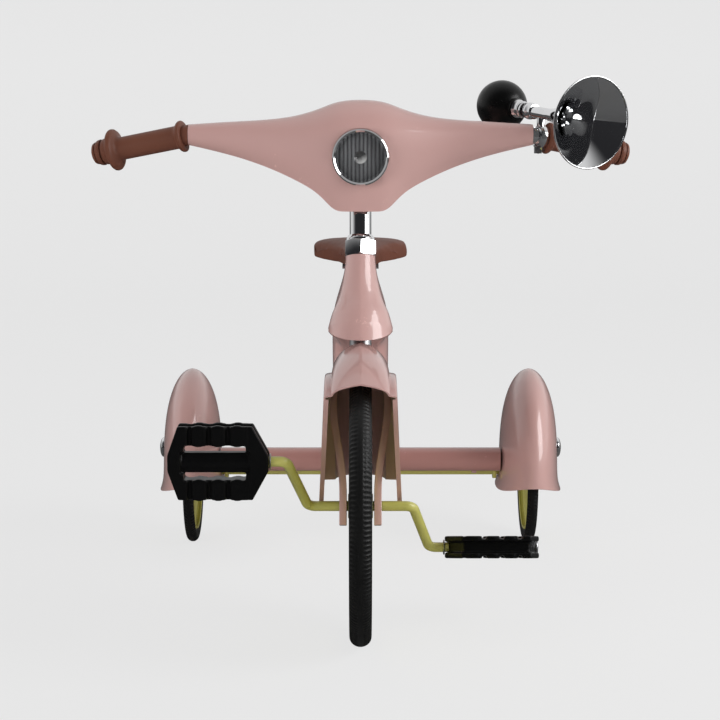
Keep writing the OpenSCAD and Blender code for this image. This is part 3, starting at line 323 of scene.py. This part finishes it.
# The neck is cut into finer rings and strips, and its front is drawn out to a soft upright ridge.
neck = node_shape("neck_fairing")
cuts = [((x / 1000, 0, 0), (1, 0, 0)) for x in (-24, -18, -13, -9, -5, -2, 0, 2, 5, 9, 13, 18, 24)]
cuts += [(wheel_centre + uphill * (s / 1000), uphill) for s in range(186, 276, 6)]
for spot, normal in cuts:
    bmesh.ops.bisect_plane(neck, geom=neck.verts[:] + neck.edges[:] + neck.faces[:], dist=1e-6, plane_co=spot,
                           plane_no=normal)
ridge_share, ridge_degrees = 0.11, 62.0
for vert in neck.verts:
    away = vert.co - wheel_centre
    front = away.dot(forward)
    reach = math.hypot(front, away.x)
    if front > 0.0:
        off = math.degrees(math.asin(min(1.0, abs(away.x) / reach)))
        vert.co += forward * (ridge_share * reach * max(0.0, 1 - off / ridge_degrees) ** 1.25)
fit(made("neck_pressing", neck, 17), pink, "frame", "paint_pink", "neck_fairing")
dress(pink, "seat_tube")


# ---- Rear beam and axle ----
# A straight tube welded across the backbone's tail carries the axle in two plates; the
# axle rod and its collars are painted olive yellow like the crank.
steel = Finish("turned_steel")
grain = steel.cloud(90.0, 3.0, 0.6, stretch=(9, 1, 1))
steel.set(Base_Color=steel.mix(grain, (0.42, 0.42, 0.43), (0.60, 0.60, 0.61)), Metallic=1.0,
          Roughness=steel.cloud(30.0) * 0.2 + 0.26, Normal=steel.relief(grain, 0.00004, 0.5))
olive = enamel("olive_enamel", tint(203, 199, 110), tint(189, 184, 98), 0.00009, 0.35)


def moulded(name, colour, shade, drift, patches, span, base, sheen, grain, depth, strength=0.4):
    """Rubber, plastic or hide. drift, patches and grain are cloud settings: of the colour's change,
    of the roughness, which goes up by span from base, and of the surface's relief."""
    stuff = Finish(name)
    return stuff.set(Base_Color=stuff.mix(stuff.cloud(*drift), colour, shade),
                     Roughness=stuff.cloud(*patches) * span + base, Specular_IOR_Level=sheen,
                     Normal=stuff.relief(stuff.cloud(*grain), depth, strength))


black = moulded("moulded_plastic", (0.0022, 0.0022, 0.0024), (0.0045, 0.0045, 0.0045), (14.0,), (70.0, 4.0),
                0.2, 0.24, 0.22, (900.0, 2.0), 0.00006)
# The rear beam gets a darker copy of the pink enamel: painted shade.
shaded_pink = enamel("pink_enamel_painted_shade", tint(192, 142, 134), tint(184, 133, 125))
dress(shaded_pink, "rear_beam")
dress(olive, "rear_axle")
dress(steel, "head_tube", "steerer")
dress(black, "head_bushings", "crank_bushings")
for node, name, finish, slot in (("axle_brackets", "axle_plates", pink, "paint_pink"),
                                 ("axle_collars", "axle_stop_rings", olive, "paint_olive"),
                                 ("axle_nuts", "axle_end_nuts", steel, "steel"),
                                 ("fender_stays", "fender_stay_plates", steel, "steel")):
    fit(eased_copy(node, name), finish, "frame", slot, node)


# ---- Rear wheels ----
# Each is a pressed olive disc with a raised ring, riveted to a turned hub, and a solid
# black rubber tyre stretched over its rim.
rubber = moulded("tyre_rubber", (0.004, 0.004, 0.004), (0.010, 0.010, 0.0095), (55.0, 4.0, 0.6), (120.0, 3.0),
                 0.2, 0.36, 0.3, (700.0, 3.0), 0.00012, 0.5)


def tyre(name, node, width, height, band, ribs):
    """A solid tyre spun from its section, with a smooth middle band and cross ribs on both shoulders."""
    low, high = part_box(node)
    centre, radius = (low + high) / 2, (high.z - low.z) / 2
    bead, crown, arc_steps = 0.36 * width, 0.46 * width, 28
    line = [(-bead, radius - height)]
    for k in range(arc_steps + 1):
        a = math.radians(-90 + 180 * k / arc_steps)
        line.append((width / 2 * math.sin(a), radius - crown + crown * math.cos(a)))
    line.append((bead, radius - height))
    shape = bmesh.new()
    points = [shape.verts.new((x, 0.0, r)) for x, r in line]
    edges = [shape.edges.new(pair) for pair in zip(points, points[1:] + points[:1])]
    bmesh.ops.spin(shape, geom=points + edges, cent=(0, 0, 0), axis=(1, 0, 0), angle=2 * math.pi,
                   steps=4 * ribs, use_merge=True)
    groove_depth, groove_start, pinch = 0.0007, 0.45, 0.965
    for vert in shape.verts:
        turn = math.atan2(vert.co.y, vert.co.z) / (2 * math.pi) * ribs
        out = abs(vert.co.x) / (width / 2)
        on_shoulder = band / (width / 2) + 0.04 < out < 0.93 and vert.co.yz.length > radius - 0.5 * width
        if on_shoulder and turn % 1.0 > groove_start:
            vert.co.yz *= 1 - groove_depth / radius
            vert.co.x *= pinch
    bmesh.ops.recalc_face_normals(shape, faces=shape.faces)
    bmesh.ops.translate(shape, verts=shape.verts, vec=centre)
    return made(name, shape, 30)


for side, word in (("l", "left"), ("r", "right")):
    fit(tyre("rear_tyre_" + side, "rear_tire_" + side, width=0.014, height=0.016, band=0.0018, ribs=110),
        rubber, "rear_wheel_" + word, "tyre", "rear_tire_" + side)
    dress(olive, "rear_disc_" + side)
    dress(steel, "rear_hub_" + word)


# ---- Rear fenders ----
# Teardrop pods, each pressed in two halves and sprayed pink, flared along the lower edge
# and held from outside by one domed chrome nut.
chrome = Finish("bright_chrome")
haze = chrome.cloud(24.0, 4.0, 0.6)
chrome.set(Base_Color=chrome.mix(haze, (0.80, 0.81, 0.82), (0.88, 0.88, 0.89)), Metallic=1.0,
           Roughness=haze ** 3.0 * 0.16 + 0.035, Normal=chrome.relief(chrome.cloud(55.0, 2.0), 0.00003, 0.3))
for side in "lr":
    node = "rear_fender_" + side
    fit(sheet_copy(node, "rear_pod_" + side), pink, "frame", "paint_pink", node)
dress(chrome, "cap_nuts")


# ---- Fork and front fender ----
# Flat steel blades run down both sides of the wheel; the deep front fender is pressed
# sheet in the same pink, with a wide rolled lip and a soft ridge along its crown.
for node, name in (("fork_blade_l", "fork_blade_left"), ("fork_blade_r", "fork_blade_right"),
                   ("fork_crown", "fork_crown_block")):
    fit(eased_copy(node, name, 0.0008), pink, "steering", "paint_pink", node)
fender = sheet_copy("front_fender", "front_fender_pressing")
fold = fender.data.attributes["crease_edge"].data
for edge in fender.data.edges:
    if max(abs(fender.data.vertices[k].co.x) for k in edge.vertices) < 1e-5:
        fold[edge.index].value = 0.8
ridge_height, ridge_half = 0.0032, 0.028
for vert in fender.data.vertices:
    out = vert.co - wheel_centre
    out.x = 0.0
    vert.co += out.normalized() * (ridge_height * max(0.0, 1 - abs(vert.co.x) / ridge_half) ** 1.2)
fit(fender, pink, "steering", "paint_pink", "front_fender")


# ---- Front wheel, crank and pedals ----
# The pedals turn the front wheel directly: a bent olive rod goes through the hub, and
# moulded black block pedals run on its ends.
def bent_rod(name, corners, radius, elbow, sides=24):
    """A round rod drawn along straight runs, with true arc bends at its corners."""
    def end_loop(edges):
        """The edges that lie in the flat end of what is drawn so far."""
        return [e for e in only(bmesh.types.BMEdge, edges)
                if all(abs((v.co - spot).dot(heading)) < 1e-6 for v in e.verts)]

    shape = bmesh.new()
    heading = (corners[1] - corners[0]).normalized()
    turn = Vector((0, 0, 1)).rotation_difference(heading).to_matrix().to_4x4()
    bmesh.ops.create_circle(shape, cap_ends=True, segments=sides, radius=radius,
                            matrix=Matrix.Translation(corners[0]) @ turn)
    spot = corners[0].copy()
    loop = list(shape.edges)
    for k, corner in enumerate(corners[1:], 1):
        cut, ahead = 0.0, None
        if k < len(corners) - 1:
            ahead = (corners[k + 1] - corner).normalized()
            angle = heading.angle(ahead)
            cut = elbow * math.tan(angle / 2)
        run = (corner - heading * cut) - spot
        step = bmesh.ops.extrude_edge_only(shape, edges=loop)["geom"]
        bmesh.ops.translate(shape, verts=only(bmesh.types.BMVert, step), vec=run)
        spot += run
        loop = end_loop(step)
        if ahead is not None:
            pivot = heading.cross(ahead).normalized()
            rim = list({v for e in loop for v in e.verts})
            bend = bmesh.ops.spin(shape, geom=rim + loop, cent=spot + pivot.cross(heading) * elbow,
                                  axis=pivot, angle=angle, steps=10)["geom_last"]
            loop = only(bmesh.types.BMEdge, bend)
            spot, heading = corner + ahead * cut, ahead
    bmesh.ops.contextual_create(shape, geom=loop)
    bmesh.ops.recalc_face_normals(shape, faces=shape.faces)
    return made(name, shape, 40)


# Each crank end stands 100 mm from the axle, the left one back and down.
low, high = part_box("crank")
reach, throw = high.x - 0.0002, Vector((0, 0.0766044, -0.0642788))
bend_in, bend_out = 0.057, 0.0775
stops = [Vector((x, 0, 0)) + throw * k for x, k in ((-reach, -1), (-bend_out, -1), (-bend_in, 0),
                                                    (bend_in, 0), (bend_out, 1), (reach, 1))]
crank = bent_rod("pedal_crank", [wheel_centre + stop for stop in stops], radius=0.0055, elbow=0.010)
fit(crank, olive, "front_wheel", "paint_olive", "crank")
fit(tyre("front_tyre", "front_tire", width=0.024, height=0.021, band=0.0032, ribs=184),
    rubber, "front_wheel", "tyre", "front_tire")
dress(olive, "front_disc")
dress(steel, "front_hub")
fit(eased_copy("pedal_nuts", "pedal_end_nuts"), steel, "front_wheel", "steel", "pedal_nuts")

# The moulded look comes from small even facets, smoothed. The bore and the end cap's
# recess are then opened again to their clearance.
bore, cap_bore, recess_depth = 0.0057, 0.0086, 0.004
for side, node, name, body in ((-1, "pedal_r", "pedal_block_right", "pedal_right"),
                               (1, "pedal_l_body", "pedal_block_left", "pedal_left")):
    moulding = eased_copy(node, name)
    moulding.modifiers.clear()
    grains = moulding.modifiers.new("grains", "REMESH")
    grains.mode, grains.voxel_size, grains.use_smooth_shade = "VOXEL", 0.0009, True
    softer = moulding.modifiers.new("softer", "SMOOTH")
    softer.factor, softer.iterations = 0.5, 16
    softened = moulding.evaluated_get(bpy.context.evaluated_depsgraph_get())
    cast = bpy.data.meshes.new_from_object(softened)
    moulding.modifiers.clear()
    moulding.data, cast.name = cast, name
    recess = max(abs(end.x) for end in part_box(node)) - recess_depth
    for vert in cast.vertices:
        off = vert.co - wheel_centre - throw * side
        off.x = 0.0
        if off.length < bore:
            vert.co += off.normalized() * (bore - off.length)
        elif off.length < cap_bore and abs(vert.co.x) > recess:
            vert.co.x = recess * side
    fit(moulding, black, body, "plastic", node)


# ---- Stem, handlebar and winged shell ----
# A chromed stem stands in the head behind a big hexagon nut. The bar hides inside a thin
# pink shell folded over it, and both ends carry brown moulded grips.
fit(eased_copy("lock_nut", "head_lock_nut", 0.0005, 3), chrome, "steering", "chrome", "lock_nut")
dress(chrome, "stem", "handlebar")
winged = sheet_copy("bar_shell", "winged_bar_shell")


def ramp(value, start, end):
    """0 up to start, 1 from end on, and a straight line between; end may be the lower one."""
    return max(0.0, min(1.0, (value - start) / (end - start)))


# Near the middle the shell's brow is lifted and its chin drawn in.
for vert in winged.data.vertices:
    near = ramp(abs(vert.co.x), 0.085, 0.035)
    near = near * near * (3 - 2 * near)
    brow, chin = ramp(vert.co.z, 0.560, 0.584), ramp(vert.co.z, 0.522, 0.492)
    vert.co.z += near * (0.0026 * brow + 0.0040 * chin)
fit(winged, pink, "steering", "paint_pink", "bar_shell")
brown = moulded("brown_grip_rubber", tint(116, 72, 56), tint(104, 62, 47), (18.0, 4.0), (80.0, 3.0),
                0.18, 0.36, 0.28, (800.0, 2.0), 0.00008)


def turned(name, outline, place, steps=96, closed=True, sharp=38):
    """A lathe shape: outline holds (radius, height) pairs in millimetres round the axis of place."""
    shape = bmesh.new()
    points = [shape.verts.new((r / 1000, 0.0, h / 1000)) for r, h in outline]
    edges = [shape.edges.new(pair) for pair in zip(points, points[1:] + (points[:1] if closed else []))]
    bmesh.ops.spin(shape, geom=points + edges, cent=(0, 0, 0), axis=(0, 0, 1), angle=2 * math.pi, steps=steps,
                   use_merge=True)
    bmesh.ops.remove_doubles(shape, verts=shape.verts, dist=1e-6)
    bmesh.ops.recalc_face_normals(shape, faces=shape.faces)
    bmesh.ops.transform(shape, matrix=place, verts=shape.verts)
    return made(name, shape, sharp)


def standing(spot, line):
    """The place of a lathe shape whose axis leaves spot along line."""
    return Matrix.Translation(spot) @ Vector((0, 0, 1)).rotation_difference(line).to_matrix().to_4x4()


collar_end, grip_reach = -0.1934, 122.0
flange = [(15.9, 0.0), (17.1, 0.4), (17.7, 1.2), (17.8, 2.3), (17.5, 3.6), (16.8, 4.7), (15.5, 5.7),
          (14.3, 6.7), (13.5, 8.0), (13.1, 9.4), (13.0, 11.0)]
tail = [(13.0, 36.0), (13.2, 33.8), (14.2, 31.8), (16.4, 30.6), (19.8, 29.5), (22.1, 28.5), (23.4, 27.0),
        (23.75, 25.3), (23.4, 23.8), (22.3, 22.6), (19.6, 21.7), (16.9, 20.7), (15.5, 19.2), (14.9, 17.2),
        (14.8, 14.6), (14.3, 13.3), (12.5, 13.0), (12.5, 11.5), (14.3, 11.2), (14.8, 10.2), (14.4, 7.4),
        (13.6, 5.8), (11.6, 5.5), (11.6, 4.1), (12.5, 3.9), (12.6, 3.1), (11.7, 1.1), (9.8, 0.05),
        (0.0, 0.05)]
for side, node, start in ((1, "grip_left", 22.0), (-1, "grip_right", 10.5)):
    outward = Vector((side * 0.94, 0.283, -0.19)).normalized()
    bend = wheel_centre + Vector((side * 0.188, 0.12191, 0.399))
    collar = [(9.8, 0.0)] if side > 0 else [(9.8, -9.4), (11.7, -9.4), (11.7, -0.2)]
    length = grip_reach - start
    grip = turned("moulded_" + node, collar + flange + [(r, length - h) for r, h in tail],
                  standing(bend + outward * start / 1000, outward), 72, closed=False)
    if side < 0:
        shape = bmesh.new()
        shape.from_mesh(grip.data)
        cut = bmesh.ops.bisect_plane(shape, geom=shape.verts[:] + shape.edges[:] + shape.faces[:],
                                     dist=1e-6, plane_co=(collar_end, 0, 0), plane_no=(1, 0, 0),
                                     clear_outer=True)["geom_cut"]
        bmesh.ops.triangle_fill(shape, edges=only(bmesh.types.BMEdge, cut), use_beauty=True)
        shape.to_mesh(grip.data)
        shape.free()
    fit(grip, brown, "steering", "grip", node)


# ---- Headlight ----
# A round lamp sits in the middle of the shell: chromed bezel, pressed glass with upright
# flutes, a mirror bowl and a small bulb.
dress(chrome, "headlight_bezel")
mirror = Finish("mirror_bowl")
mirror.set(Base_Color=mirror.mix(mirror.cloud(40.0), (0.72, 0.73, 0.74), (0.82, 0.82, 0.83)), Metallic=1.0,
           Roughness=mirror.cloud(90.0) * 0.1 + 0.08)
lamp_height, flute_pace = 0.528, 1450.0
# The glass's colour is painted light: the flutes are painted as pale and dark upright columns, and the centre
# as a dark eye of painted shade with a painted highlight crescent along its lower edge.
glass = Finish("fluted_glass_painted_shading")
across, rise = glass.axis(0), glass.axis(2) - lamp_height
flute = glass.add("ShaderNodeMath", {"operation": "SINE"}, across * flute_pace)
painted_flute_shading = (flute * 0.5 + 0.5) * (glass.cloud(60.0, 3.0, stretch=(2.2, 1, 0.4)) * 1.3 - 0.1)
from_axis = (across * across + rise * rise) ** 0.5
painted_eye_mask = glass.add("ShaderNodeMapRange", None, from_axis, 0.0064, 0.0074, 1.0, 0.0)
painted_crescent_mask = glass.add("ShaderNodeMapRange", None, across * 0.5 - rise, -0.001, 0.0062, 0.0, 1.0)
glass.set(Base_Color=glass.mix(painted_eye_mask, glass.mix(painted_flute_shading, (0.10, 0.10, 0.105), (0.40, 0.41, 0.42)),
                               glass.mix(painted_crescent_mask, (0.10, 0.10, 0.10), (0.88, 0.88, 0.87))),
          Roughness=0.06, Transmission_Weight=0.5, IOR=1.45)
low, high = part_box("headlight_lens")
middle = (low.z + high.z) / 2
facing = Matrix.Translation((0, high.y + 0.0006, middle)) @ Matrix.Rotation(math.radians(90), 4, "X")
dome_steps, dome_height, dome_half, eye_half = 28, 5.2, 25.112, 7.6
dome = [(dome_half * k / dome_steps, dome_height * math.cos(math.pi / 2 * k / dome_steps))
        for k in range(dome_steps + 1)]
dimple = [(r, 3.4 + 0.0385 * r ** 2 + 0.00055 * r ** 4) for r in (0.86 * k for k in range(9))]
rim = [(26.3, 2.9), (29.2, 2.9), (29.2, 0.6), (24.8, 0.6)]
back = [(r * 0.98, h - 0.8) for r, h in dome[:8:-1]] + [(6.9, 5.6), (4.5, 3.4), (0.0, 2.6)]
pressed = turned("fluted_lens", dimple + [(r, h + 1.4) for r, h in dome if r > eye_half] + rim + back,
                 facing, 160, closed=False)
flute_depth, fluted_half = 0.00022, 0.0245
for vert in pressed.data.vertices:
    if math.hypot(vert.co.x, vert.co.z - middle) < fluted_half:
        vert.co.y += flute_depth * math.sin(vert.co.x * flute_pace)
fit(pressed, glass, "steering", "lens", "headlight_lens")
dress(mirror, "headlight_reflector")
clear = Finish("bulb_glass")
clear.set(Base_Color=clear.mix(clear.cloud(80.0), (0.80, 0.78, 0.72), (0.88, 0.86, 0.80)), Roughness=0.08,
          Transmission_Weight=0.5)
dress(clear, "headlight_bulb")
dress(pink, "headlight_bucket")


# ---- Horn ----
# A chromed brass bell on a strap clamp at the bar's left end, blown by a black rubber
# bulb that is pushed over a beaded ferrule.
squeeze = moulded("bulb_rubber", (0.002, 0.002, 0.002), (0.004, 0.004, 0.004), (20.0,), (90.0, 3.0),
                  0.2, 0.2, 0.25, (500.0,), 0.0001)
fit(eased_copy("horn_clamp", "horn_strap_clamp", 0.0005), chrome, "steering", "chrome", "horn_clamp")
dress(steel, "horn_screw")
# The horn's lathe outlines give the height from the middle of the bulb's ball towards the mouth.
horn_line = Vector((0.52, -0.849, -0.098)).normalized()
low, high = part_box("horn_bulb")
along_horn = standing((low + high) / 2 + horn_line * 0.0012, horn_line)
throat, mouth, sheet, roll_radius = 6.5, 50.0, 1.1, 1.0
bell_start, bell_length, flare_steps = 84.0, 82.5, 44
flare = [(throat + (mouth - throat) * (k / flare_steps) ** 2.1, bell_start + bell_length * k / flare_steps)
         for k in range(flare_steps + 1)]
roll = [(mouth + roll_radius * math.cos(math.radians(a)), 167.1 + roll_radius * math.sin(math.radians(a)))
        for a in range(-60, 230, 24)]
inner = [(r - sheet, h + 0.4) for r, h in flare[:0:-1]] + [(5.2, bell_start), (5.2, 58)]
bell = turned("horn_bell_spun", [(throat, 58), (6.7, 60), (throat, 61.5)] + flare + roll + inner,
              along_horn, 144)
fit(bell, chrome, "steering", "chrome", "horn_bell")
beads = [(4, 25), (8, 25), (10.4, 30), (10.5, 32.5), (9.4, 34), (8.4, 35.5), (8.4, 38.5), (9.3, 39.5),
         (9.6, 41), (9.3, 42.5), (8.4, 43.5), (8.4, 51.5), (9.3, 53), (9.6, 55.2), (9.4, 57.4), (8.4, 59),
         (8.4, 63.6), (6.7, 63.8), (6.7, 58), (4, 57.9)]
ferrule = turned("horn_bead_ferrule", beads, along_horn, 72)
fit(ferrule, chrome, "steering", "chrome", "horn_ferrule")
ball = [(29 * math.sin(math.radians(a)), -29.4 * math.cos(math.radians(a))) for a in range(0, 160, 4)]
seam_height, seam_half = 0.35, 0.8
ball = [(r + seam_height * math.exp(-(h / seam_half) ** 2), h) for r, h in ball]
lip = [(11.6, 27.6), (12.2, 29.4), (12.0, 31.4), (10.9, 31.9), (10.6, 30), (8.15, 24.5), (0, 24.5)]
bulb = turned("horn_squeeze_bulb", ball + lip, along_horn, 96, closed=False)
fit(bulb, squeeze, "steering", "bulb_rubber", "horn_bulb")


# ---- Saddle ----
# A padded brown cover over a pressed pan, on a chromed post that slides in the seat tube
# and is held by a split clamp.
dress(chrome, "seat_post", "seat_clamp")
fit(eased_copy("saddle_bracket", "saddle_bracket_block"), steel, "seat", "steel", "saddle_bracket")
dress(black, "saddle_pan")
hide = moulded("brown_saddle_hide", tint(112, 68, 53), tint(99, 58, 44), (18.0, 4.0), (80.0, 3.0),
               0.2, 0.38, 0.2, (420.0, 4.0, 0.6), 0.0002, 0.5)
cushion = sheet_copy("saddle_cover", "saddle_cushion")
cushion.modifiers.clear()
low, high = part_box("saddle_cover")
home = [vert.co.copy() for vert in cushion.data.vertices]
rim_height, most_swell, cloth_frames = 0.006, 0.0012, 20
held = cushion.vertex_groups.new(name="rim")
held.add([k for k, co in enumerate(home) if co.z < low.z + rim_height], 1.0, "REPLACE")
stuffing = cushion.modifiers.new("stuffing", "CLOTH")
stuffing.settings.quality, stuffing.settings.vertex_group_mass = 8, "rim"
stuffing.settings.use_pressure, stuffing.settings.uniform_pressure_force = True, 4.0
stuffing.settings.effector_weights.gravity = 0.0
for step in range(1, cloth_frames + 1):
    bpy.context.scene.frame_set(step)
stuffed = cushion.evaluated_get(bpy.context.evaluated_depsgraph_get()).data.vertices
moves = [stuffed[k].co - co for k, co in enumerate(home)]
cushion.modifiers.clear()
bpy.context.scene.frame_set(1)
for vert, co, move in zip(cushion.data.vertices, home, moves):
    vert.co = co + move * min(1.0, most_swell / max(move.length, 1e-9))

# Each ring of the cover, from its widest height down, is drawn from a round to a square corner.
rings = {}
for vert in cushion.data.vertices:
    rings.setdefault(round(vert.co.y, 4), []).append(vert)
roundness, squareness = 2.38, 0.14
for ring in rings.values():
    if len(ring) < 20:
        continue
    half = max(abs(vert.co.x) for vert in ring)
    foot = min(vert.co.z for vert in ring)
    belt = max(vert.co.z for vert in ring if abs(vert.co.x) > 0.985 * half)
    for vert in ring:
        if vert.co.z < belt and abs(vert.co.x) > 0.5 * half:
            c = min(1.0, (abs(vert.co.x) / half) ** roundness)
            drop = math.sqrt(max(0.0, 1 - c * c)) ** 0.1
            vert.co.x = math.copysign(half * c ** squareness, vert.co.x)
            vert.co.z = belt + (foot - belt) * drop
finer = cushion.modifiers.new("finer", "SUBSURF")
finer.levels = finer.render_levels = 2
fit(cushion, hide, "seat", "saddle", "saddle_cover")
